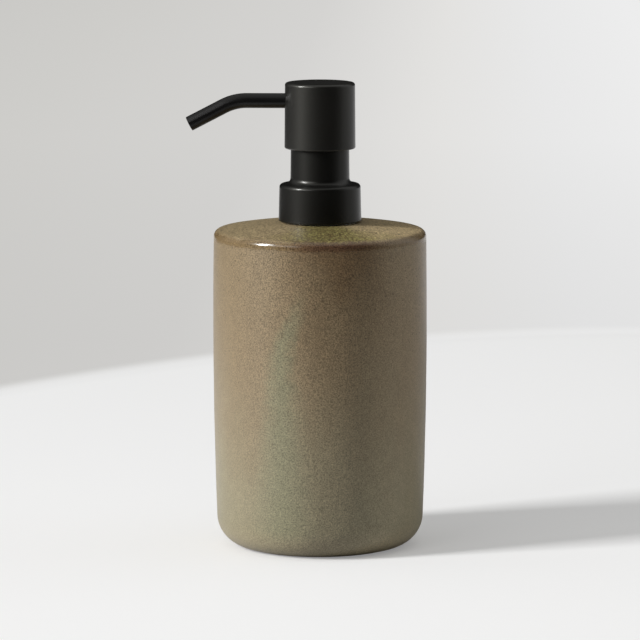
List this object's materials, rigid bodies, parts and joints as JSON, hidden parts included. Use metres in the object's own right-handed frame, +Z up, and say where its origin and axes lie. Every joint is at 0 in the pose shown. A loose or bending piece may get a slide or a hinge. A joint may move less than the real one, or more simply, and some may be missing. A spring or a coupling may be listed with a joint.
{
  "type": "soap pump dispenser",
  "caption": "Round glazed stoneware soap bottle with a screw-on press pump: guide collar, cylindrical push head and bent tube spout.",
  "frame": {"origin": "centre of the bottle's foot ring, on the surface that it stands on", "axes": "+Z up along the pump's axis; the spout points along -X; +Y is the far side seen from the front"},
  "size_m": [0.0967, 0.086, 0.1868],
  "materials": {
    "stoneware_glaze": "glossy mottled olive-brown reactive glaze on stoneware",
    "natural_pp": "natural moulded polypropylene",
    "sealant": "cured silicone",
    "black_cap": "fine satin black moulded plastic",
    "black_inner": "black moulded polypropylene",
    "gasket": "soft grey-white foam polyethylene",
    "seal": "black rubber",
    "ball_steel": "polished stainless steel",
    "tube_pe": "translucent extruded polyethylene",
    "spring_steel": "drawn stainless spring wire",
    "piston_pe": "waxy moulded polyethylene",
    "black_tube": "black-coated stainless tube"
  },
  "bodies": {
    "bottle_body": {"bottle": "stoneware_glaze", "neck_insert": "natural_pp", "mouth_sealant": "sealant"},
    "pump_body": {"housing": "natural_pp", "chaplet": "black_inner", "stem_seal": "seal", "neck_gasket": "gasket", "ball_cage": "natural_pp", "dip_tube": "tube_pe"},
    "collar": {"collar_shell": "black_cap", "closure": "black_inner"},
    "swivel": {"return_spring": "spring_steel"},
    "plunger": {"head_shell": "black_cap", "actuator_core": "black_inner", "spout_tube": "black_tube", "spout_liner": "tube_pe", "stem": "black_inner", "poppet": "natural_pp"},
    "sliding_piston": {"piston": "piston_pe"},
    "valve_ball": {"inlet_ball": "ball_steel"}
  },
  "joints": [
    {"name": "pump_rise", "type": "slide", "parent": "bottle_body", "child": "pump_body", "axis": [0, 0, 1], "range_m": [0, 0.00423]},
    {"name": "closure_turn", "type": "hinge", "parent": "pump_body", "child": "collar", "pos_m": [0, 0, 0.1307], "axis": [0, 0, 1], "range_deg": [0, 360]},
    {"name": "head_turn", "type": "hinge", "parent": "pump_body", "child": "swivel", "pos_m": [0, 0, 0.1307], "axis": [0, 0, 1], "continuous": true},
    {"name": "pump_stroke", "type": "slide", "parent": "swivel", "child": "plunger", "axis": [0, 0, -1], "range_m": [0, 0.011], "stiffness_N_per_m": 727, "springref_m": -0.0083, "deforming": ["return_spring"]},
    {"name": "piston_slip", "type": "slide", "parent": "plunger", "child": "sliding_piston", "axis": [0, 0, 1], "range_m": [0, 0.0012]},
    {"name": "ball_lift", "type": "slide", "parent": "pump_body", "child": "valve_ball", "axis": [0, 0, 1], "range_m": [0, 0.002]}
  ],
  "couplings": [
    {"joint": "closure_turn", "follows": "pump_rise", "rad_per_m": 1484.2}
  ]
}
